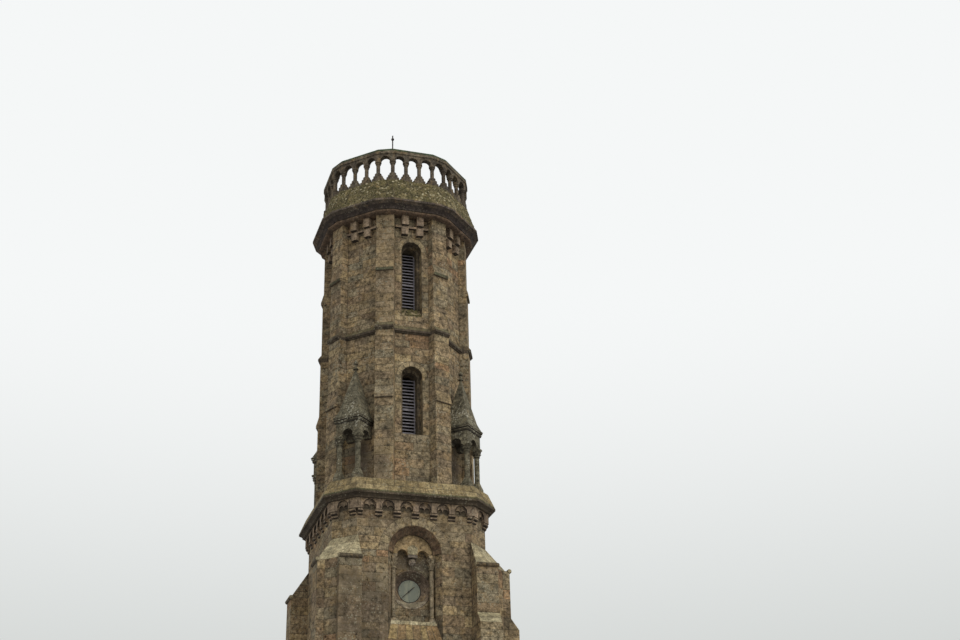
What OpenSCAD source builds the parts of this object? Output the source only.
// Stone bell tower. A square stage with corner piers and a clock niche carries an octagonal
// belfry with louvred windows, four corner aedicules and a terrace with an arcaded balustrade.
// The origin is on the tower's axis at ground level, with the clock's side towards -Y.

/* [Square stage] */
// Distance from the axis to the face of the square stage's walls
wall_face = 2450; // [2350:10:2950]
// Thickness of the square stage's walls
wall_t = 1020; // [900:10:1100]
// How far the chamfer of a corner is set back along each wall
chamfer = 630; // [500:10:700]
// Height of the walls, up to the lower cornice
wall_top = 16230; // [13500:10:19500]
// Height of each of the plinth's two steps
plinth_step_h = 420; // [300:10:500]
// How far each of the plinth's steps stands out from what it carries
plinth_step = 60; // [40:5:90]
// Number of courses in a squinch, which carries the belfry over a corner
squinch_steps = 3; // [2:1:4]
// Height of a squinch's course
squinch_h = 260; // [200:10:300]
// Width of the fine joints between stones that meet at an angle or lie on each other
joint = 0.2; // [0.1:0.05:0.3]

/* [Corner piers] */
// Width of a buttress
pier_w = 690; // [600:10:750]
// How far a pier's outer flank stands beyond the face of the walls
pier_flank = 10; // [5:5:100]
// How far the upper part of a pier stands out from the wall
pier_p = 550; // [450:10:650]
// How much further out the front of a pier's lower part stands
pier_set_off = 250; // [150:10:300]
// Where the diagonal face between a pier's buttresses starts on a flank, from the walls' face
pier_splay = 320; // [200:10:370]
// Height from a pier's eaves up to the wall's top
eaves_drop = 1980; // [1800:10:2300]
// Rise of a pier's sloping top
pier_rise = 840; // [700:10:950]
// Height from the set-off on the front right pier up to its eaves
high_set_off_drop = 1820; // [1500:10:2500]
// Height of the set-off on the other three piers
low_set_off = 8350; // [6000:10:9500]
// Rise of the weathering above a set-off
set_off_rise = 350; // [250:10:400]
// Radius of the roll under a pier's eaves
drip_r = 70; // [50:5:80]

/* [Doorway] */
// Clear width of the doorway
door_w = 1100; // [900:10:1200]
// Height of the springing of the doorway's arch
door_spring = 2150; // [1900:10:2300]
// Depth of the outer reveal in front of the door
door_reveal = 380; // [250:10:450]
// How far the reveal behind the door is wider on each side
door_rebate = 80; // [60:5:120]
// Thickness of the door's planks
door_t = 70; // [50:5:90]
// Gap between the door and its rebate
door_gap = 5; // [3:1:8]
// Thickness of the stone floor on the ground
floor_t = 200; // [150:10:260]

/* [Clock niche] */
// Height from the springing of the niche's arch up to the wall's top
niche_drop = 1570; // [1450:10:1700]
// Radius of the niche's arch at the wall's face
niche_r = 840; // [780:10:860]
// Radius of the niche's arch behind its splay
niche_inner_r = 620; // [600:10:660]
// Depth of the splay of the niche's arch
niche_splay = 220; // [180:10:260]
// Half width of the niche below its arch, where the colonnettes stand
niche_half = 700; // [690:5:720]
// Depth of the niche's back wall behind the wall's face
niche_depth = 500; // [460:10:560]
// Rise of the niche's sloping sill
sill_rise = 620; // [450:10:700]
// Height from the joint in the front wall under the niche up to the sill
bay_foot = 400; // [300:10:500]
// Height of a colonnette, from the sill up to the springing
colonnette_h = 2060; // [1900:10:2200]
// Radius of a colonnette's shaft
colonnette_r = 65; // [50:5:75]
// Distance from the splay back to a colonnette's axis
colonnette_back = 110; // [100:5:150]
// Width of a colonnette's plinth and abacus
colonnette_side = 200; // [180:5:220]
// Height of a colonnette's base
colonnette_base_h = 200; // [150:10:250]
// Height of a colonnette's bell-shaped capital
colonnette_cap_h = 430; // [350:10:480]
// Depth of the tympanum's face behind the wall's face
tympanum_depth = 300; // [260:10:340]
// Radius of the tympanum's two small arches
small_arch_r = 160; // [120:5:170]
// Distance from the niche's middle to the centres of the small arches
small_arch_x = 320; // [300:5:340]
// Radius of the carved head's skull
head_r = 115; // [90:5:125]
// Height of the slab over the carved head
head_slab_h = 90; // [70:5:110]
// How far this slab stands out from the tympanum
head_slab_p = 30; // [20:5:40]
// Gap between this slab and each of the small arches
head_slab_gap = 10; // [5:5:20]

/* [Clock] */
// Height of the dial's middle above the colonnettes' feet
dial_rise = 1040; // [1000:10:1080]
// Radius of the dial that shows
dial_r = 360; // [300:10:380]
// Depth of the dial's face behind the niche's back wall
dial_recess = 210; // [180:10:240]
// How much wider the surround is at its front edge than at the dial
surround_splay = 210; // [160:10:220]
// Thickness of the dial's plate
dial_t = 40; // [20:5:60]
// How far the dial's plate reaches behind the surround
dial_rim = 40; // [20:5:60]
// Clearance round the dial's plate
dial_gap = 5; // [2:1:8]
// Distance from the minute hand's tip to the edge of the dial
minute_tip_gap = 35; // [20:5:60]
// Distance from the hour hand's tip to the edge of the dial
hour_tip_gap = 145; // [120:5:170]
// Width of the minute hand at its foot
minute_hand_w = 30; // [20:1:40]
// Width of the hour hand at its foot
hour_hand_w = 40; // [30:1:50]
// Thickness of each hand
hand_t = 6; // [5:1:8]
// Clear gap between the dial and the hour hand
hour_clear = 15; // [8:1:20]
// Clear gap between the two hands
hand_clear = 9; // [8:1:14]
// How far the arbor stands out from the minute hand
arbor_end = 14; // [8:1:20]
// Radius of the arbor that carries the hands
arbor_r = 12; // [10:1:14]
// Radial clearance of a hand on the arbor
arbor_fit = 0.06; // [0.04:0.01:0.1]
// Radius of a hand's hub
hub_r = 30; // [24:1:36]
// Angle of the minute hand, clockwise from the top
minute_turn = 228; // [0:1:359]
// Full hour that the hands show
hour = 1; // [0:1:11]

/* [Corbel table] */
// How far the corbel table stands out from the wall
table_p = 120; // [90:5:150]
// Distance between the centres of two arches of the corbel table
table_pitch = 580; // [560:5:700]
// Radius of an arch of the corbel table
table_arch_r = 200; // [160:5:240]
// Height from the springing of the corbel table's arches up to the wall's top
table_drop = 210; // [205:5:300]
// Height from the foot of the corbel table up to the springing of its arches
table_leg = 110; // [80:5:150]
// Height of a corbel, which is two rolls
corbel_h = 200; // [160:10:240]
// Width of a corbel
corbel_w = 230; // [180:5:250]
// Gap on each side of the corbels that stand next to a corner
corbel_gap = 10; // [5:5:20]
// How far the lobed slab in an arch stands out from the wall
slab_p = 60; // [40:5:80]
// How far the slab's foot hangs below the springing
slab_drop = 42; // [30:1:60]
// Width left of the slab beside its lobes
lobe_rim = 28; // [20:1:40]
// Width of the cusp between its two lobes
cusp_w = 8; // [4:1:14]

/* [Lower cornice] */
// How far the lower cornice's nose stands out from the wall
low_cornice_p = 329; // [280:1:400]
// Height of the moulding from the wall's top to the top of the nose
low_cornice_h = 176; // [150:1:220]
// Height of the nose's upright face
low_nose_h = 60; // [40:5:80]
// Rise of the weathering above the nose
weathering_h = 494; // [400:1:600]
// Distance by which the weathering goes in
weathering_in = 209; // [150:1:230]

/* [Belfry] */
// How far the belfry's walls stand behind the square stage's
shaft_set_back = 270; // [220:10:320]
// Height of the belfry's lower storey, up to the string course
low_storey_h = 5250; // [4370:10:6300]
// Height of the belfry's upper storey, from the string course's foot up to the cornice
high_storey_h = 4365; // [4000:5:5300]
// Width of a belfry pier
shaft_pier_w = 600; // [500:10:720]
// How far the foot of a belfry pier stands out from the belfry's walls
shaft_pier_p = 390; // [360:5:420]
// How far a pier's face goes in at its lower drip
low_set_in = 35; // [20:5:50]
// How far a pier's face goes in at the string course
string_set_in = 25; // [15:5:40]
// How far a pier's face goes in at its upper drip
high_set_in = 30; // [20:5:40]
// How far a pier's drip stands out from the face above it
shaft_drip = 95; // [60:5:120]
// Height of the lower drips above the belfry's foot
low_drip_up = 2815; // [2600:5:3000]
// Height of the upper drips above the string course's foot
high_drip_up = 2190; // [2000:5:2400]
// Height of a drip's face
drip_h = 90; // [70:5:120]
// Rise of the weathering above a drip
drip_rise = 330; // [250:10:400]
// Height of the string course, with its weathered top
string_h = 260; // [200:10:300]
// How far the string course stands out from the face below it
string_p = 90; // [60:5:110]
// Radius of the small cove under the string course's nose
string_cove_r = 50; // [30:5:60]
// Height of the string course's nose
string_nose_h = 70; // [50:5:90]
// Thickness of the belfry's floors
shaft_floor_t = 250; // [200:10:300]
// Side of a cornice bracket's face
bracket_w = 230; // [200:10:250]
// Distance from the middle of a wall to the middle of a bracket
bracket_x = 260; // [240:10:280]
// Height of an upper bracket
bracket_h = 330; // [280:10:380]
// How far an upper bracket stands out from the wall
bracket_p = 230; // [180:10:260]
// Height of a lower bracket
low_bracket_h = 270; // [220:10:300]
// How far a lower bracket stands out from the wall
low_bracket_p = 170; // [120:10:200]
// Height of the band between the brackets
band_h = 80; // [60:5:100]
// How far the band stands out from the wall
band_p = 110; // [80:5:140]

/* [Windows] */
// Width of a window at the wall's face
window_w = 700; // [600:10:840]
// Masonry left on each side of the louvres, at their back
louvre_cheek = 59; // [40:1:80]
// Depth of the louvres behind the wall's face
louvre_depth = 560; // [450:10:600]
// Height of the lower windows' sills above the belfry's foot
low_sill_up = 1720; // [1500:10:1900]
// Height of a lower window
low_window_h = 2370; // [1970:10:2500]
// Height of the upper windows' sills above the string course's foot
high_sill_up = 1040; // [900:10:1200]
// Height of an upper window
high_window_h = 2440; // [2000:10:2600]
// Rise of the sloping sill of an upper window
sill_slope = 380; // [250:10:450]
// Distance between two louvre slats
slat_pitch = 115; // [95:5:140]
// Thickness of a louvre slat
slat_t = 25; // [15:1:35]
// Length of a slat on its slope
slat_l = 120; // [100:5:140]
// Slope of the slats
slat_turn = 35; // [25:1:45]
// Height of the thicker slat above a window's sill
rail_up = 1040; // [800:10:1200]
// Thickness of the thicker slat
rail_t = 50; // [40:1:60]
// Width of a louvre's stiles
stile_w = 30; // [20:5:45]
// Thickness of the louvres, from front to back
louvre_t = 90; // [70:5:110]

/* [Aedicules] */
// How far an aedicule's outer columns stand out from the belfry's corner walls
aedicule_p = 670; // [620:10:700]
// Distance from an aedicule's middle to its columns
aedicule_v = 340; // [300:5:400]
// Radius of an aedicule's column
aedicule_column_r = 85; // [60:5:100]
// Height of an aedicule's column with its base and capital
aedicule_column_h = 1560; // [1450:10:1870]
// Side of a column's base
aedicule_base_w = 285; // [250:5:300]
// Height of the block of a column's base
aedicule_block_h = 170; // [130:10:200]
// Height of the pointed top of a column's base
aedicule_point_h = 230; // [180:10:260]
// How far the faces of the pointed top run into the shaft
aedicule_point_in = 20; // [15:1:30]
// Side of the abacus on an aedicule's column
aedicule_abacus_w = 270; // [240:5:290]
// Height of an aedicule column's capital with its abacus
aedicule_cap_h = 290; // [240:10:320]
// Height of the arched block on the columns
aedicule_arch_h = 420; // [360:10:480]
// Radius of an aedicule's arches
aedicule_arch_r = 195; // [150:5:205]
// How far the arched block stands out beyond the columns' axes
aedicule_edge = 90; // [70:5:110]
// How far each of the cornice's two steps stands out
aedicule_step = 32; // [20:1:45]
// Height of an aedicule's cornice
aedicule_cornice_h = 200; // [160:10:240]
// Height of an aedicule's spire
spire_h = 1700; // [1410:10:2040]
// Half the width of the spire's tip
spire_tip = 35; // [25:1:45]
// How far the spire's foot is set back from the cornice's edge
spire_set_back = 15; // [10:1:30]
// How far the spire's foot flares out
spire_flare = 50; // [20:5:80]
// Height of the spire's flared foot
spire_flare_h = 250; // [180:10:300]
// Height of an aedicule's finial above the spire
finial_h = 400; // [300:10:450]
// Radius of the finial's stem
finial_stem_r = 38; // [30:1:45]
// Radius of the finial's collar
finial_collar_r = 85; // [70:1:95]
// How deep the finial's stem is let into the spire
finial_seat = 160; // [120:10:200]

/* [Upper cornice and terrace] */
// How far the upper cornice's nose stands out from the belfry's walls
cornice_p = 647; // [600:1:700]
// Height from the belfry's top to the top of the cornice's nose
cornice_h = 404; // [380:1:450]
// How far the cornice's nose stands out from its foot
cornice_out = 280; // [240:10:300]
// Radius of the roll at the cornice's foot
cornice_roll_r = 55; // [40:5:60]
// Height of the cornice's nose
cornice_nose_h = 70; // [50:5:90]
// Width of the flat band between the cornice's roll and its cove
cornice_band = 60; // [40:5:80]
// How far the coping's outer face stands out from the belfry's walls
coping_p = 320; // [280:5:350]
// Width of the coping
coping_w = 270; // [230:5:300]
// How far the parapet's foot is set back from the cornice's nose
parapet_set_back = 40; // [20:5:60]
// Height of the parapet's battered foot above the cornice's nose
parapet_h = 930; // [775:5:1115]
// Angle from the middle of a long side of the balustrade to its end
long_side_turn = 16.6; // [15.5:0.1:17.5]
// Height of a baluster, from its base to the top of its capital
baluster_h = 830; // [690:10:1000]
// Height of a baluster's stepped base
baluster_base_h = 300; // [240:5:340]
// Height of a baluster's stepped capital
baluster_cap_h = 140; // [110:5:170]
// Clear gap between the feet of two balusters
baluster_foot_gap = 26; // [10:1:60]
// How far the balusters' feet stay behind the parapet's faces
baluster_set_back = 8; // [5:1:20]
// Radius of a baluster's shaft
baluster_r = 68; // [50:1:80]
// How far a baluster's capital stands out from its shaft
baluster_cap_p = 45; // [30:5:55]
// How far the capital's lower step is set back
baluster_cap_step = 25; // [15:1:28]
// Width of the balustrade's stone between two of its arches
arcade_leg = 140; // [110:5:170]
// Height of the arched band on the balusters
arcade_h = 250; // [220:5:300]
// Height of the coping
coping_h = 217; // [180:1:260]
// How far the coping's edge stands out from the arched band
coping_lip = 30; // [20:5:45]
// Width and height of the coping's weathered edge
coping_slope = 70; // [50:5:90]
// Thickness of the terrace's floor
terrace_t = 300; // [250:10:350]
// Height of the lightning rod above the terrace's floor
rod_h = 4140; // [3450:10:4970]
// Radius of the lightning rod
rod_r = 22; // [15:1:30]
// How far the lightning rod stands to the left of the axis
rod_x = 117; // [60:1:160]
// Radius and thickness of the lightning rod's foot plate
rod_foot = [90, 40];
// Radius of the lightning rod's ball, and how far its middle lies below the tip
rod_ball = [55, 160];

/* [Hidden] */
// Number of segments of a full circle
$fn = 48;
// How far a column's abacus and plinth stand out from what is round
abacus_lip = 4;
// Longer than anything that is cut
reach = 9000;
// How far a cut runs out past the face that it starts from
past = 800;
// How far a cut runs into another, so that no skin is left between them
bite = 1;
// Half the angle between two sides of an octagon
half_turn = 22.5;
stone = "tan";
light_stone = "wheat";
dark_stone = "dimgray";
slate_grey = "slategray";

// Distances from the axis in the square stage
room_half = wall_face - wall_t;
pier_out = wall_face + pier_flank;
pier_in = pier_out - pier_w;
pier_front = wall_face + pier_p;
pier_diagonal = wall_face + pier_splay;
diagonal_face = (2 * wall_face - chamfer) / sqrt(2);
// Heights in the square stage
pier_eaves = wall_top - eaves_drop;
pier_top = pier_eaves + pier_rise;
high_set_off = pier_eaves - high_set_off_drop;
niche_spring = wall_top - niche_drop;
niche_ledge = niche_spring - colonnette_h;
sill_foot = niche_ledge - sill_rise;
clock_bay_z = sill_foot - bay_foot;
door_crown = door_spring + door_w / 2;
table_spring = wall_top - table_drop;
table_foot = table_spring - table_leg;
platform_z = wall_top + low_cornice_h + weathering_h;
// Places in the clock niche
colonnette_x = niche_half - colonnette_side / 2;
dial_z = niche_ledge + dial_rise;
dial_depth = niche_depth + dial_recess;
surround_r = dial_r + surround_splay;
// Distance from the dial's face to the back of the minute hand
minute_gap = hour_clear + hand_t + hand_clear;
// Rebate behind the surround: how far it is wider than the surround, and how deep it is
surround_seat = [30, 90];
// Number of the corbel table's arches on a wall, and what is left at each end for a corbel
table_arches = 1 + floor(2 * (wall_face - chamfer - table_arch_r) / table_pitch);
table_end = wall_face - chamfer - table_arch_r - (table_arches - 1) / 2 * table_pitch;
// Distances from the axis in the belfry
shaft_face = wall_face - shaft_set_back;
shaft_pier_1 = shaft_face + shaft_pier_p;
shaft_pier_2 = shaft_pier_1 - low_set_in;
shaft_pier_3 = shaft_pier_2 - string_set_in;
shaft_pier_4 = shaft_pier_3 - high_set_in;
// Heights in the belfry
string_z = platform_z + low_storey_h;
shaft_top = string_z + high_storey_h;
low_drip = platform_z + low_drip_up;
high_drip = string_z + high_drip_up;
low_window_sill = platform_z + low_sill_up;
high_window_sill = string_z + high_sill_up;
louvre_w = 2 * (panel_half(shaft_face - louvre_depth - louvre_t) - louvre_cheek);
// Places in the aedicules
aedicule_u = shaft_face + aedicule_p;
aedicule_arch_z = platform_z + aedicule_column_h;
aedicule_cornice_z = aedicule_arch_z + aedicule_arch_h;
spire_z = aedicule_cornice_z + aedicule_cornice_h;
// Heights of the terrace
shaft_room_end = shaft_top + cornice_h;
terrace_z = shaft_room_end + terrace_t;
parapet_top = shaft_room_end + parapet_h;
arcade_z = parapet_top + baluster_h;
coping_z = arcade_z + arcade_h;
// Distances from the axis on the terrace
cornice_nose = shaft_face + cornice_p;
coping_face = shaft_face + coping_p;
coping_inner = coping_face - coping_w;
arcade_out = coping_face - coping_lip;
arcade_in = coping_inner + coping_lip;
baluster_face = (arcade_out + arcade_in) / 2;
// Distance between two balusters on a long side
baluster_pitch = 2 / 3 * baluster_face * tan(long_side_turn);
baluster_foot_r = (baluster_pitch - baluster_foot_gap) / 2;
baluster_arch_r = (baluster_pitch - arcade_leg) / 2;

// Half the width of the gap between two belfry piers, at a given distance from the axis
function panel_half(face) =
    (face * sin(half_turn) - shaft_pier_w / 2) / cos(half_turn);
// Distance along a pier from the axis to where it meets the rooms
pier_back = panel_half(room_half) * sin(half_turn) + room_half * cos(half_turn);
// Distance from the axis to the short sides of the balustrade, for a long side at a distance
function short_side(face) =
    face / cos(long_side_turn) * cos(half_turn - long_side_turn);

// Points of the sixteen-sided outline of the terrace, for long sides at a distance
function terrace_outline(face) =
    [for (side = [0:7], end = [-1, 1])
        let (turn = 45 * side + end * long_side_turn, radius = face / cos(long_side_turn))
        [radius * cos(turn), radius * sin(turn)]];

// Points of the rooms' outline in the belfry, which ends square on each pier
function room_outline(face) =
    [for (side = [0:7], end = [-1, 1])
        let (half = panel_half(face), turn = 45 * side)
        [face * cos(turn) - end * half * sin(turn),
         face * sin(turn) + end * half * cos(turn)]];

// Runs a profile, drawn as distance from the axis and height, along a side that faces turn
module along_side(turn, length = 2 * reach) {
    rotate([0, 0, turn])
        rotate([90, 0, 0])
            linear_extrude(length, center = true)
                children();
}

// Keeps the part of a ring within an angle on both sides of turn, less half a joint at each end
module wedge(turn, half_angle, bottom, top) {
    rotate([0, 0, turn])
        translate([joint / 2 / sin(half_angle), 0, bottom])
            linear_extrude(top - bottom)
                polygon([[0, 0], [reach, -reach * tan(half_angle)], [reach, reach * tan(half_angle)]]);
}

// Runs a profile round the terrace, on its long sides or on its short ones
module terrace_ring(long, bottom, top) {
    for (side = [0:7])
        intersection() {
            along_side(45 * side + (long ? 0 : half_turn))
                children();
            wedge(45 * side + (long ? 0 : half_turn),
                  long ? long_side_turn : half_turn - long_side_turn, bottom, top - joint);
        }
}

// Moves a piece that is drawn for the front, which faces -Y, to the side that faces turn
module to_side(turn) {
    rotate([0, 0, turn + 90])
        children();
}

// A round-arched opening drawn in width and height, from its sill to its crown
module arched_outline(width, sill, crown) {
    translate([-width / 2, sill])
        square([width, crown - width / 2 - sill]);
    translate([0, crown - width / 2])
        circle(width / 2);
}

// A circle at a height, drawn in width and height
module circle_at(height, radius) {
    translate([0, height])
        circle(radius);
}

// The upper half of such a circle
module half_circle_at(height, radius) {
    intersection() {
        circle_at(height, radius);
        translate([-radius, height])
            square([2 * radius, radius]);
    }
}

// Stands a drawing of width and height up at the front, from a depth behind a face to another
module stand(face, from_depth, to_depth) {
    translate([0, -face + to_depth, 0])
        rotate([90, 0, 0])
            linear_extrude(to_depth - from_depth)
                children();
}

// A block on the middle of the front, given its half width and depths behind a face
module front_block(half, face, depths, heights) {
    translate([-half, -face + depths[0], heights[0]])
        cube([2 * half, depths[1] - depths[0], heights[1] - heights[0]]);
}

// Four-sided frustum that tapers from one half width to another, as the overlap of two wedges
module frustum(foot, tip, height) {
    intersection_for (turn = [0, 90])
        rotate([90, 0, turn])
            linear_extrude(2 * foot, center = true)
                polygon([[-foot, 0], [foot, 0], [tip, height], [-tip, height]]);
}

// Profile of a wall with the plinth's two steps, from the room's face outwards
module plinth_profile(inner, face, top) {
    translate([inner, 0])
        square([face - inner, top]);
    for (step = [1, 2])
        translate([inner, 0])
            square([face + step * plinth_step - inner, (3 - step) * plinth_step_h]);
}

// A plain wall of the square stage
module plain_wall(turn) {
    along_side(turn, 2 * room_half)
        plinth_profile(room_half, wall_face, wall_top - joint);
}

// The part of the front wall between two heights
module front_wall_part(bottom, top) {
    intersection() {
        plain_wall(-90);
        front_block(reach, wall_face, [-past, wall_face], [bottom, top]);
    }
}

// Floor of the ground room, with the doorway's threshold
module ground_floor() {
    color(light_stone) {
        translate([-room_half, -room_half, 0])
            cube([2 * room_half, 2 * room_half, floor_t]);
        front_block(door_w / 2, wall_face, [0, wall_t], [0, floor_t]);
        front_block(door_w / 2 + door_rebate, wall_face, [door_reveal, wall_t], [0, floor_t]);
    }
}

// The doorway's outer and inner reveals
module doorway_cut() {
    stand(wall_face, -past, door_reveal + bite)
        arched_outline(door_w, -bite, door_crown);
    stand(wall_face, door_reveal, wall_face)
        arched_outline(door_w + 2 * door_rebate, -bite, door_crown + door_rebate);
}

module front_wall_foot() {
    color(stone)
        difference() {
            front_wall_part(0, door_spring);
            doorway_cut();
        }
}

module door_leaf() {
    color("saddlebrown")
        stand(wall_face, door_reveal, door_reveal + door_t)
            arched_outline(door_w + 2 * (door_rebate - door_gap), floor_t,
                           door_crown + door_rebate - door_gap);
}

module front_wall() {
    color(stone)
        difference() {
            front_wall_part(door_spring, clock_bay_z);
            doorway_cut();
        }
}

// The clock niche: a splayed arch over a square recess with a sloping sill
module niche_cut() {
    // Splay of the arch
    intersection() {
        translate([0, -wall_face - bite, niche_spring])
            rotate([-90, 0, 0])
                cylinder(h = niche_splay + bite, r1 = niche_r, r2 = niche_inner_r);
        front_block(reach, wall_face, [-past, wall_face], [niche_spring, wall_top]);
    }
    // Splay of the jambs over the sloping sill
    intersection() {
        linear_extrude(niche_spring)
            polygon([[-niche_r, -wall_face - bite], [niche_r, -wall_face - bite],
                     [niche_half, -wall_face + niche_splay], [-niche_half, -wall_face + niche_splay]]);
        along_side(-90)
            polygon([[wall_face + bite, sill_foot], [wall_face + bite, niche_spring],
                     [wall_face - niche_splay, niche_spring], [wall_face - niche_splay, niche_ledge]]);
    }
    // Recess behind the arch and behind the jambs
    stand(wall_face, niche_splay - bite, niche_depth)
        half_circle_at(niche_spring, niche_inner_r);
    front_block(niche_half, wall_face, [niche_splay - bite, niche_depth], [niche_ledge, niche_spring]);
    // Seat of the clock's surround
    stand(wall_face, niche_depth - bite, dial_depth + surround_seat[1])
        circle_at(dial_z, surround_r + surround_seat[0]);
}

module clock_bay() {
    color(stone)
        difference() {
            front_wall_part(clock_bay_z, wall_top);
            niche_cut();
        }
}

module right_wall() {
    color(stone)
        plain_wall(0);
}

module back_wall() {
    color(stone)
        plain_wall(90);
}

module left_wall() {
    color(stone)
        plain_wall(180);
}

// Outline of a pier that stands out to a distance, grown by the plinth's steps
function pier_outline(front, grow) = [
    [room_half, room_half], [room_half, wall_face + grow],
    [pier_in - grow, wall_face + grow], [pier_in - grow, front + grow],
    [pier_out + grow, front + grow], [pier_out + grow, pier_diagonal + grow],
    [pier_diagonal + grow, pier_out + grow], [front + grow, pier_out + grow],
    [front + grow, pier_in - grow], [wall_face + grow, pier_in - grow],
    [wall_face + grow, room_half]
];

// Profile of a pier towards one side, with its set-off and its sloping top
module pier_profile(set_off_z) {
    low_front = pier_front + pier_set_off;
    polygon([[-reach, 0], [low_front, 0], [low_front, set_off_z], [pier_front, set_off_z + set_off_rise],
             [pier_front, pier_eaves], [wall_face, pier_top], [-reach, pier_top]]);
}

// A corner of the square stage with its angle buttresses, drawn in the quarter of +X and +Y
module corner_pier(set_off_z) {
    diagonal_out = (pier_out + pier_diagonal) / sqrt(2);
    // Plinth
    for (step = [1, 2])
        linear_extrude((3 - step) * plinth_step_h)
            polygon(pier_outline(pier_front + pier_set_off, step * plinth_step));
    // Buttresses, cut by their slopes on both sides and on the diagonal
    intersection() {
        linear_extrude(pier_top)
            polygon(pier_outline(pier_front + pier_set_off, 0));
        along_side(0)
            pier_profile(set_off_z);
        along_side(90)
            pier_profile(set_off_z);
        along_side(45)
            polygon([[-reach, 0], [reach, 0], [reach, pier_eaves], [diagonal_out, pier_eaves],
                     [diagonal_face, pier_top], [-reach, pier_top]]);
    }
    // Rolls under the eaves
    for (swap = [0, 1])
        mirror([swap, -swap, 0])
            translate([pier_in, pier_front, pier_eaves])
                rotate([0, 90, 0])
                    cylinder(h = pier_w, r = drip_r);
    // The chamfered corner above the buttresses
    linear_extrude(wall_top - joint)
        polygon([[room_half, room_half], [room_half, wall_face], [wall_face - chamfer, wall_face],
                 [wall_face, wall_face - chamfer], [wall_face, room_half]]);
}

module front_left_pier() {
    color(stone)
        rotate([0, 0, 180])
            corner_pier(low_set_off);
}

module front_right_pier() {
    color(stone)
        rotate([0, 0, -90])
            corner_pier(high_set_off);
}

module back_right_pier() {
    color(stone)
        corner_pier(low_set_off);
}

module back_left_pier() {
    color(stone)
        rotate([0, 0, 90])
            corner_pier(low_set_off);
}

// Stepped blocks that carry the octagon over the corners of the square room
module squinches() {
    full = (sqrt(2) - 1) * sqrt(2) * room_half;
    color(stone)
        for (corner = [0:3], step = [1:squinch_steps])
            rotate([0, 0, 90 * corner])
                translate([room_half, room_half, wall_top - joint - (squinch_steps + 1 - step) * squinch_h])
                    linear_extrude((squinch_steps + 1 - step) * squinch_h)
                        polygon((full * step / squinch_steps) * [[0, 0], [-1, 0], [0, -1]]);
}

// Profile of a corbel: two rolls, the upper one further out
module corbel_profile(face) {
    roll_r = corbel_h / 4;
    intersection() {
        translate([face, table_foot - corbel_h])
            square([table_p, corbel_h]);
        for (row = [0, 1]) {
            out = table_p * (row + 1) / 2 - roll_r;
            middle = table_foot - corbel_h + (2 * row + 1) * roll_r;
            translate([face, middle - roll_r])
                square([max(out, bite), 2 * roll_r]);
            translate([face + out, middle])
                circle(roll_r);
        }
    }
}

// Cuts an arch of the corbel table
module table_arch() {
    arched_outline(2 * table_arch_r, table_foot - bite, table_spring + table_arch_r);
}

// The slab inside an arch of the corbel table, with two lobes and a cusp at its foot
module lobed_slab() {
    lobe_r = (table_arch_r - lobe_rim - cusp_w / 2) / 2;
    translate([0, table_spring])
        difference() {
            intersection() {
                circle(table_arch_r);
                translate([-table_arch_r, -slab_drop])
                    square([2 * table_arch_r, 2 * table_arch_r]);
            }
            for (side = [-1, 1])
                translate([side * (lobe_r + cusp_w / 2), -slab_drop])
                    circle(lobe_r);
        }
}

// The corbel table's band on a wall at a distance, less half a joint at each mitred end
module table_band(face, half) {
    translate([0, 0, table_foot])
        linear_extrude(wall_top - joint - table_foot)
            polygon([[joint - half - table_p * (sqrt(2) - 1), -face - table_p],
                     [half + table_p * (sqrt(2) - 1) - joint, -face - table_p],
                     [half - joint, -face], [joint - half, -face]]);
}

module corbel_table_sides() {
    places = [for (arch = [0:table_arches - 1]) (arch - (table_arches - 1) / 2) * table_pitch];
    last = places[table_arches - 1] + table_arch_r;
    color(stone)
        for (side = [0:3])
            rotate([0, 0, 90 * side]) {
                difference() {
                    table_band(wall_face, wall_face - chamfer);
                    stand(wall_face, -past, bite)
                        for (place = places)
                            translate([place, 0])
                                table_arch();
                }
                stand(wall_face, -slab_p, 0)
                    for (place = places)
                        translate([place, 0])
                            lobed_slab();
                for (arch = [1:table_arches - 1])
                    translate([places[arch] - table_pitch / 2, 0, 0])
                        along_side(-90, corbel_w)
                            corbel_profile(wall_face);
                for (end = [-1, 1])
                    translate([end * (last + table_end / 2), 0, 0])
                        along_side(-90, table_end - 2 * corbel_gap)
                            corbel_profile(wall_face);
            }
}

module corbel_table_corners() {
    half = chamfer / sqrt(2);
    color(stone)
        for (side = [0:3])
            rotate([0, 0, 90 * side + 45]) {
                difference() {
                    table_band(diagonal_face, half);
                    stand(diagonal_face, -past, bite)
                        table_arch();
                }
                stand(diagonal_face, -slab_p, 0)
                    lobed_slab();
                for (end = [-1, 1])
                    translate([end * (table_arch_r + half) / 2, 0, 0])
                        along_side(-90, half - table_arch_r - 2 * corbel_gap)
                            corbel_profile(diagonal_face);
            }
}

// Profile of the lower cornice for a face at a distance: cavetto, nose and weathering
module low_cornice_profile(face) {
    nose = face + low_cornice_p;
    difference() {
        polygon([[-reach, wall_top], [nose, wall_top], [nose, wall_top + low_cornice_h],
                 [nose - weathering_in, platform_z], [-reach, platform_z]]);
        translate([nose, wall_top])
            circle(low_cornice_h - low_nose_h);
    }
}

module lower_cornice() {
    color(light_stone)
        difference() {
            intersection_for (side = [0:3])
                intersection() {
                    along_side(90 * side)
                        low_cornice_profile(wall_face);
                    along_side(90 * side + 45)
                        low_cornice_profile(diagonal_face);
                }
            translate([0, 0, wall_top - bite])
                linear_extrude(platform_z - wall_top + 2 * bite)
                    polygon(room_outline(room_half));
        }
}

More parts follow.
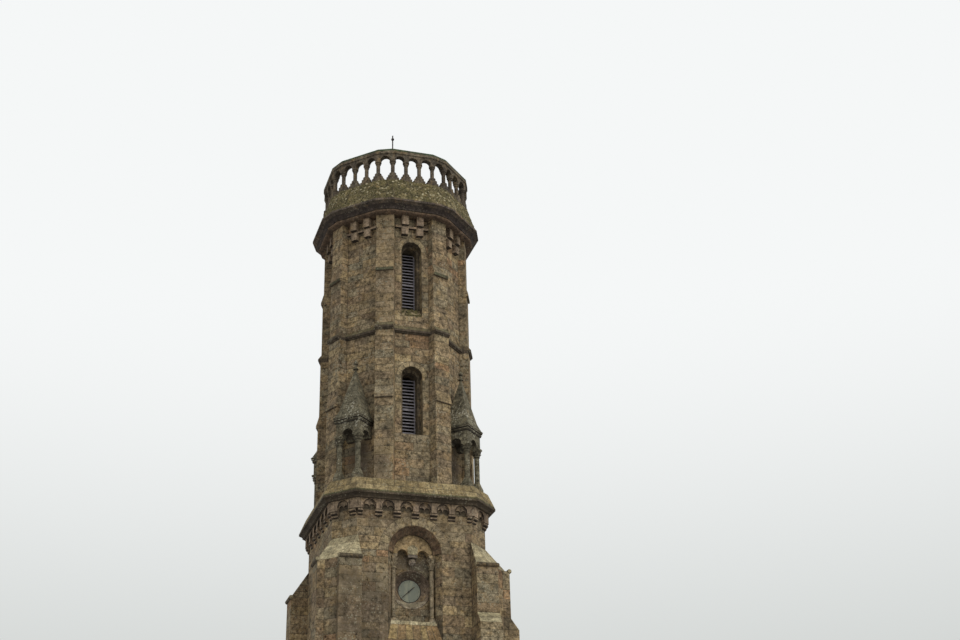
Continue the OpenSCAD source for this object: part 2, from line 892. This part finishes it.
// Outline of a round column, drawn as radius and height, with a base and a bell-shaped capital
module column_outline(radius, height, base_h, cap_h, lip) {
    half_lip = (radius + lip) / 2;
    drum_h = 0.45 * base_h;
    torus_z = 0.62 * base_h;
    bell_z = height - cap_h;
    ring_r = 0.07 * cap_h;
    square([radius, height]);
    // Base: a drum with a torus on it
    if (base_h > 0) {
        square([lip, drum_h]);
        square([half_lip, torus_z]);
        translate([half_lip, torus_z])
            circle((lip - radius) / 2);
    }
    // Capital: a neck ring, and a bell that widens to the abacus
    translate([radius, bell_z])
        circle(ring_r);
    polygon([[0, bell_z], [radius, bell_z], [half_lip, bell_z + 0.4 * cap_h],
             [lip, bell_z + 0.7 * cap_h], [lip, height], [0, height]]);
}

// A round column with its capital and a square abacus
module column(radius, height, base_h, cap_h, side) {
    abacus_h = 0.2 * cap_h;
    lip = side / 2 - abacus_lip;
    rotate_extrude()
        intersection() {
            column_outline(radius, height, base_h, cap_h, lip);
            square([lip, height]);
        }
    translate([-side / 2, -side / 2, height - abacus_h])
        cube([side, side, abacus_h]);
}

module niche_columns() {
    side = colonnette_side;
    color(light_stone)
        for (place = [-1, 1])
            translate([place * colonnette_x, niche_splay + colonnette_back - wall_face, niche_ledge]) {
                column(colonnette_r, colonnette_h, colonnette_base_h, colonnette_cap_h, side);
                translate([-side / 2, -side / 2, 0])
                    cube([side, side, colonnette_base_h / 4]);
            }
}

module niche_tympanum() {
    color(stone)
        stand(wall_face, tympanum_depth, niche_depth)
            difference() {
                half_circle_at(niche_spring, niche_inner_r);
                for (side = [-1, 1])
                    translate([side * small_arch_x, niche_spring])
                        circle(small_arch_r);
            }
}

// Outline of the carved head before carving, as radius and height: a skull over a narrower jaw
module head_outline() {
    jaw_r = 0.62 * head_r;
    jaw_z = -0.85 * head_r;
    intersection() {
        union() {
            circle(head_r);
            translate([0, jaw_z])
                circle(jaw_r);
            polygon([[0, 0], [0.95 * head_r, -0.3 * head_r],
                     [0.95 * jaw_r, jaw_z - 0.3 * jaw_r], [0, jaw_z]]);
        }
        translate([0, -reach])
            square([reach, 2 * reach]);
    }
}

// Carved head on the niche's back wall, under the slab that carries the two small arches
module head_corbel() {
    half = small_arch_x - small_arch_r - head_slab_gap;
    slab_z = niche_spring - head_slab_h;
    head_z = slab_z - 0.87 * head_r;
    color(light_stone) {
        front_block(half, wall_face, [tympanum_depth - head_slab_p, niche_depth], [slab_z, niche_spring]);
        translate([0, niche_depth - wall_face - head_r, head_z])
            rotate_extrude()
                head_outline();
        stand(wall_face, niche_depth - head_r, niche_depth)
            circle_at(head_z, 0.8 * head_r);
    }
}

// Stone ring round the dial: splayed in front, with a rebate for the dial behind
module clock_surround() {
    back = dial_depth + surround_seat[1];
    rebate_r = dial_r + dial_rim + dial_gap;
    color(light_stone)
        translate([0, -wall_face, dial_z])
            rotate([-90, 0, 0])
                rotate_extrude()
                    polygon([[surround_r, niche_depth], [surround_r + surround_seat[0], niche_depth],
                             [surround_r + surround_seat[0], back], [rebate_r, back],
                             [rebate_r, dial_depth], [dial_r, dial_depth]]);
}

// The dial's plate, with the fixed arbor that carries the hands
module clock_dial() {
    arbor_l = minute_gap + hand_t + arbor_end;
    color("darkseagreen")
        stand(wall_face, dial_depth, dial_depth + dial_t)
            circle_at(dial_z, dial_r + dial_rim);
    color("black")
        stand(wall_face, dial_depth - arbor_l, dial_depth + bite)
            circle_at(dial_z, arbor_r);
}

// A tapering hand with a round hub, turned clockwise from the top, at a gap in front of the dial
module hand(length, width, turn, gap) {
    translate([0, dial_depth - gap - wall_face, dial_z])
        rotate([0, turn, 0])
            rotate([90, 0, 0])
                linear_extrude(hand_t)
                    difference() {
                        union() {
                            circle(hub_r);
                            polygon([[-width / 2, -length / 5], [width / 2, -length / 5],
                                     [width / 4, length], [-width / 4, length]]);
                        }
                        circle(arbor_r + arbor_fit);
                    }
}

module minute_hand() {
    color("black")
        hand(dial_r - minute_tip_gap, minute_hand_w, minute_turn, minute_gap);
}

module hour_hand() {
    color("black")
        hand(dial_r - hour_tip_gap, hour_hand_w, 30 * hour + minute_turn / 12, hour_clear);
}

module belfry_floors() {
    color(light_stone)
        for (top = [platform_z, string_z + shaft_floor_t])
            translate([0, 0, top - shaft_floor_t])
                linear_extrude(shaft_floor_t)
                    polygon(room_outline(room_half - joint));
}

// A wall of the belfry between two piers, drawn for the front
module belfry_panel() {
    translate([0, 0, platform_z])
        linear_extrude(shaft_top - joint - platform_z)
            polygon([for (corner = [[-1, room_half], [1, room_half], [1, shaft_face], [-1, shaft_face]])
                [corner[0] * (panel_half(corner[1]) - joint), -corner[1]]]);
}

// A window with its splayed reveal, drawn for the front
module window_cut(sill, height) {
    narrow = (window_w - louvre_w) / 2;
    stand(shaft_face, -past, louvre_depth / 2)
        arched_outline(window_w, sill, sill + height);
    stand(shaft_face, louvre_depth / 2 - bite, wall_t)
        arched_outline(louvre_w, sill, sill + height - narrow);
}

module belfry_window_wall(turn) {
    color(stone)
        to_side(turn)
            difference() {
                belfry_panel();
                window_cut(low_window_sill, low_window_h);
                window_cut(high_window_sill, high_window_h);
                // Sloping sill under the upper window
                along_side(-90, window_w)
                    polygon([[shaft_face + bite, high_window_sill - sill_slope],
                             [shaft_face + bite, high_window_sill + bite],
                             [shaft_face - louvre_depth / 2, high_window_sill + bite]]);
            }
}

module belfry_front_wall() {
    belfry_window_wall(-90);
}

module belfry_right_wall() {
    belfry_window_wall(0);
}

module belfry_back_wall() {
    belfry_window_wall(90);
}

module belfry_left_wall() {
    belfry_window_wall(180);
}

module belfry_corner_walls() {
    color(stone)
        for (corner = [0:3])
            rotate([0, 0, 90 * corner + 45])
                belfry_panel();
}

// Stands a pier's profile up at each of the octagon's eight corners
module at_corners() {
    for (corner = [0:7])
        along_side(45 * corner + half_turn, shaft_pier_w)
            children();
}

// Profile of a pier between two heights, with a drip and weathering where its face goes in
module set_off_profile(bottom, top, low_face, high_face, drip_z) {
    drip_face = high_face + shaft_drip;
    polygon([[pier_back, bottom], [low_face, bottom], [low_face, drip_z], [drip_face, drip_z],
             [drip_face, drip_z + drip_h], [high_face, drip_z + drip_h + drip_rise],
             [high_face, top - joint], [pier_back, top - joint]]);
}

module belfry_piers() {
    color(stone)
        at_corners() {
            set_off_profile(platform_z, string_z, shaft_pier_1, shaft_pier_2, low_drip);
            set_off_profile(string_z + string_h, shaft_top, shaft_pier_3, shaft_pier_4, high_drip);
        }
}

// Profile of the string course: a small cove, a nose and a weathered top
module string_profile(inner, face, top_face) {
    nose = face + string_p;
    difference() {
        polygon([[inner, string_z], [nose, string_z], [nose, string_z + string_cove_r + string_nose_h],
                 [top_face, string_z + string_h - joint], [inner, string_z + string_h - joint]]);
        translate([nose, string_z])
            circle(string_cove_r);
    }
}

module string_course_piers() {
    color(light_stone)
        at_corners()
            string_profile(pier_back, shaft_pier_2, shaft_pier_3);
}

module string_course_walls() {
    outer = shaft_face + string_p;
    color(light_stone)
        for (side = [0:7])
            intersection() {
                along_side(45 * side)
                    string_profile(shaft_face - bite, shaft_face, shaft_face);
                rotate([0, 0, 45 * side])
                    translate([0, 0, string_z])
                        linear_extrude(string_h)
                            polygon([for (corner = [[-1, shaft_face + joint / 2], [-1, outer],
                                                    [1, outer], [1, shaft_face + joint / 2]])
                                [corner[1], corner[0] * (panel_half(corner[1]) - joint)]]);
            }
}

// Louvres of a window: sloping slats between two stiles, with a thicker rail in the middle
module window_louvres(sill, height) {
    wide = louvre_w - 2 * joint;
    top = height - (window_w - louvre_w) / 2 - joint;
    spring = top - wide / 2;
    // The highest slat still meets the stiles, which the arch cuts off
    stile_reach = sqrt(pow(wide / 2, 2) - pow(wide / 2 - stile_w, 2));
    highest = floor((spring + stile_reach) / slat_pitch);
    translate([0, 0, sill])
        intersection() {
            stand(shaft_face, louvre_depth, louvre_depth + louvre_t)
                arched_outline(wide, 0, top);
            union() {
                for (side = [-1, 1])
                    translate([side * (wide - stile_w) / 2 - stile_w / 2, louvre_depth - shaft_face, 0])
                        cube([stile_w, louvre_t, top]);
                for (slat = [0:highest])
                    translate([-wide / 2, louvre_depth - shaft_face, slat * slat_pitch])
                        rotate([slat_turn, 0, 0])
                            cube([wide, slat_l, slat == round(rail_up / slat_pitch) ? rail_t : slat_t]);
            }
        }
}

module louvres() {
    color(slate_grey)
        for (side = [0:3])
            rotate([0, 0, 90 * side]) {
                window_louvres(low_window_sill, low_window_h);
                window_louvres(high_window_sill, high_window_h);
            }
}

// Blocks under the cornice on each wall: two above and two below a thin band
module cornice_brackets() {
    bracket_top = shaft_top - joint;
    band_top = bracket_top - bracket_h;
    band_z = band_top - band_h;
    color(stone)
        for (side = [0:7])
            rotate([0, 0, 45 * side]) {
                front_block(panel_half(shaft_face) - joint, shaft_face, [-band_p, 0], [band_z, band_top]);
                for (place = [-bracket_x, bracket_x])
                    translate([place, 0, 0]) {
                        front_block(bracket_w / 2, shaft_face, [-bracket_p, 0], [band_top, bracket_top]);
                        front_block(bracket_w / 2, shaft_face, [-low_bracket_p, 0],
                                    [band_z - low_bracket_h, band_z]);
                    }
            }
}

// Places a piece, drawn for the front, at each corner of the square stage
module at_aedicules() {
    for (corner = [0:3])
        rotate([0, 0, 90 * corner + 45])
            children();
}

module aedicule_columns() {
    base = aedicule_base_w / 2;
    color(slate_grey)
        at_aedicules()
            for (side = [-1, 1])
                translate([side * aedicule_v, -aedicule_u, platform_z]) {
                    column(aedicule_column_r, aedicule_column_h - joint, 0,
                           aedicule_cap_h, aedicule_abacus_w);
                    translate([-base, -base, 0])
                        cube([2 * base, 2 * base, aedicule_block_h]);
                    translate([0, 0, aedicule_block_h])
                        frustum(base, aedicule_column_r - aedicule_point_in, aedicule_point_h);
                }
}

// The block on the columns, open below in three arches, with its back against the wall
module aedicule_arches() {
    half = aedicule_v + aedicule_edge;
    out = aedicule_u + aedicule_edge;
    color(slate_grey)
        at_aedicules()
            difference() {
                front_block(half, out, [0, out - shaft_face], [aedicule_arch_z, aedicule_cornice_z - joint]);
                stand(out, -bite, out - shaft_face + bite)
                    circle_at(aedicule_arch_z, aedicule_arch_r);
                translate([0, -(aedicule_u + shaft_face) / 2, aedicule_arch_z])
                    rotate([0, 90, 0])
                        cylinder(h = 2 * half + 2 * bite, r = aedicule_arch_r, center = true);
            }
}

// Cornice in two steps, a four-sided spire with a flared foot, and a turned finial
module aedicule_roofs() {
    middle = aedicule_u - aedicule_v;
    half = aedicule_v + aedicule_edge;
    step_h = aedicule_cornice_h / 2;
    color(slate_grey)
        at_aedicules() {
            for (step = [1, 2]) {
                edge = half + step * aedicule_step;
                top = aedicule_cornice_z + step * step_h;
                front_block(edge, middle, [-edge, middle - shaft_face], [top - step_h, top]);
            }
            intersection() {
                translate([0, -middle, spire_z])
                    spire_solid(half + 2 * aedicule_step - spire_set_back);
                front_block(reach, shaft_face, [-reach, 0], [0, 2 * spire_z]);
            }
            translate([0, -middle, spire_z + spire_h - finial_seat])
                rotate_extrude()
                    finial_outline();
        }
}

// Four-sided spire: a frustum from the foot to the tip, and a wider one for the flare
module spire_solid(foot) {
    inner = foot - spire_flare;
    at_flare = inner - (inner - spire_tip) * spire_flare_h / spire_h;
    frustum(inner, spire_tip, spire_h);
    frustum(foot, at_flare, spire_flare_h);
}

// Outline of a finial, as radius and height: stem, collar, bud and tip
module finial_outline() {
    top = finial_seat + finial_h;
    collar_z = finial_seat + 0.18 * finial_h;
    bud_z = top - 0.28 * finial_h;
    intersection() {
        union() {
            square([finial_stem_r, bud_z]);
            translate([0, collar_z])
                square([finial_collar_r, 0.1 * finial_h]);
            translate([0, bud_z])
                circle(0.2 * finial_h);
            square([finial_stem_r / 2, top]);
        }
        square([finial_h, top]);
    }
}

// Profile of the upper cornice for a face at a distance: roll, large cove and nose
module cornice_profile(inner, nose) {
    foot = nose - cornice_out;
    cove = cornice_out - cornice_band;
    top = shaft_room_end - joint;
    difference() {
        polygon([[inner, shaft_top], [foot, shaft_top], [foot, shaft_top + 2 * cornice_roll_r],
                 [nose, shaft_top + 2 * cornice_roll_r], [nose, top], [inner, top]]);
        translate([nose, shaft_room_end - cornice_nose_h - cove])
            circle(cove);
    }
    translate([foot, shaft_top + cornice_roll_r])
        circle(cornice_roll_r);
}

module cornice_sides() {
    color(stone)
        terrace_ring(true, shaft_top, shaft_room_end)
            cornice_profile(room_half, cornice_nose);
}

module cornice_corners() {
    color(stone)
        terrace_ring(false, shaft_top, shaft_room_end)
            cornice_profile(short_side(room_half), short_side(cornice_nose));
}

module terrace_floor() {
    color(light_stone)
        translate([0, 0, shaft_room_end])
            linear_extrude(terrace_t)
                polygon(terrace_outline(coping_inner - joint));
}

// Profile of the parapet's foot: battered outside, upright inside
module parapet_profile(foot_face, top_face, inner) {
    polygon([[inner, shaft_room_end], [foot_face, shaft_room_end],
             [top_face, parapet_top], [inner, parapet_top]]);
}

module parapet_sides() {
    color("darkkhaki")
        terrace_ring(true, shaft_room_end, parapet_top)
            parapet_profile(cornice_nose - parapet_set_back, coping_face, coping_inner);
}

module parapet_corners() {
    color("darkkhaki")
        terrace_ring(false, shaft_room_end, parapet_top)
            parapet_profile(short_side(cornice_nose - parapet_set_back), short_side(coping_face),
                            short_side(coping_inner));
}

// Outline of a baluster, as radius and height: stepped base, slender shaft, stepped capital
module baluster_outline() {
    steps = 3;
    top = baluster_h - joint;
    square([baluster_r, top]);
    for (step = [0:steps - 1])
        square([baluster_foot_r - (baluster_foot_r - baluster_r) * step / steps,
                baluster_base_h * (step + 1) / steps]);
    for (step = [0:1])
        translate([0, top - baluster_cap_h * (step + 1) / 2])
            square([baluster_r + baluster_cap_p - step * baluster_cap_step, baluster_cap_h * (step + 1) / 2]);
}

// Places a piece at each baluster: two on each long side, and one on each end of it
module at_balusters() {
    for (side = [0:7], place = [-1.5, -0.5, 0.5, 1.5])
        rotate([0, 0, 45 * side])
            translate([baluster_face, place * baluster_pitch, parapet_top])
                children();
}

// Turned balusters, whose wide feet are cut flush with the parapet that they stand on
module balusters() {
    color(dark_stone)
        intersection() {
            at_balusters()
                rotate_extrude()
                    baluster_outline();
            translate([0, 0, parapet_top - bite])
                linear_extrude(baluster_h + 2 * bite)
                    difference() {
                        polygon(terrace_outline(coping_face - baluster_set_back));
                        polygon(terrace_outline(coping_inner + baluster_set_back));
                    }
        }
}

// Cuts arches through a side of the balustrade that faces turn, at places along it
module arcade_arches(turn, face, places) {
    for (place = places)
        rotate([0, 0, turn])
            translate([face - coping_w, place, arcade_z])
                rotate([0, 90, 0])
                    cylinder(h = 2 * coping_w, r = baluster_arch_r);
}

module arcade_sides() {
    color(dark_stone)
        for (side = [0:7])
            difference() {
                intersection() {
                    along_side(45 * side)
                        translate([arcade_in, arcade_z])
                            square([arcade_out - arcade_in, arcade_h - joint]);
                    wedge(45 * side, long_side_turn, arcade_z, coping_z);
                }
                arcade_arches(45 * side, baluster_face, [-baluster_pitch, 0, baluster_pitch]);
            }
}

module arcade_corners() {
    color(dark_stone)
        for (side = [0:7])
            difference() {
                intersection() {
                    along_side(45 * side + half_turn)
                        translate([short_side(arcade_in), arcade_z])
                            square([short_side(arcade_out) - short_side(arcade_in), arcade_h - joint]);
                    wedge(45 * side + half_turn, half_turn - long_side_turn, arcade_z, coping_z);
                }
                arcade_arches(45 * side + half_turn, baluster_face, [0]);
            }
}

// Profile of the coping, with a weathered top
module coping_profile(inner, outer) {
    top = coping_z + coping_h;
    polygon([[inner, coping_z], [outer, coping_z], [outer, top - coping_slope], [outer - coping_slope, top],
             [inner + coping_slope, top], [inner, top - coping_slope]]);
}

module coping_sides() {
    color(dark_stone)
        terrace_ring(true, coping_z, coping_z + coping_h + joint)
            coping_profile(coping_inner, coping_face);
}

module coping_corners() {
    color(dark_stone)
        terrace_ring(false, coping_z, coping_z + coping_h + joint)
            coping_profile(short_side(coping_inner), short_side(coping_face));
}

module lightning_rod() {
    color("dimgray")
        translate([-rod_x, 0, terrace_z]) {
            cylinder(h = rod_foot[1], r = rod_foot[0]);
            cylinder(h = rod_h, r = rod_r);
            translate([0, 0, rod_h - rod_ball[1]])
                sphere(rod_ball[0]);
        }
}

ground_floor();
front_wall_foot();
door_leaf();
front_wall();
clock_bay();
right_wall();
back_wall();
left_wall();
front_left_pier();
front_right_pier();
back_right_pier();
back_left_pier();
squinches();
corbel_table_sides();
corbel_table_corners();
lower_cornice();
niche_columns();
niche_tympanum();
head_corbel();
clock_surround();
clock_dial();
minute_hand();
hour_hand();
belfry_floors();
belfry_front_wall();
belfry_right_wall();
belfry_back_wall();
belfry_left_wall();
belfry_corner_walls();
belfry_piers();
string_course_piers();
string_course_walls();
louvres();
cornice_brackets();
aedicule_columns();
aedicule_arches();
aedicule_roofs();
cornice_sides();
cornice_corners();
terrace_floor();
parapet_sides();
parapet_corners();
balusters();
arcade_sides();
arcade_corners();
coping_sides();
coping_corners();
lightning_rod();
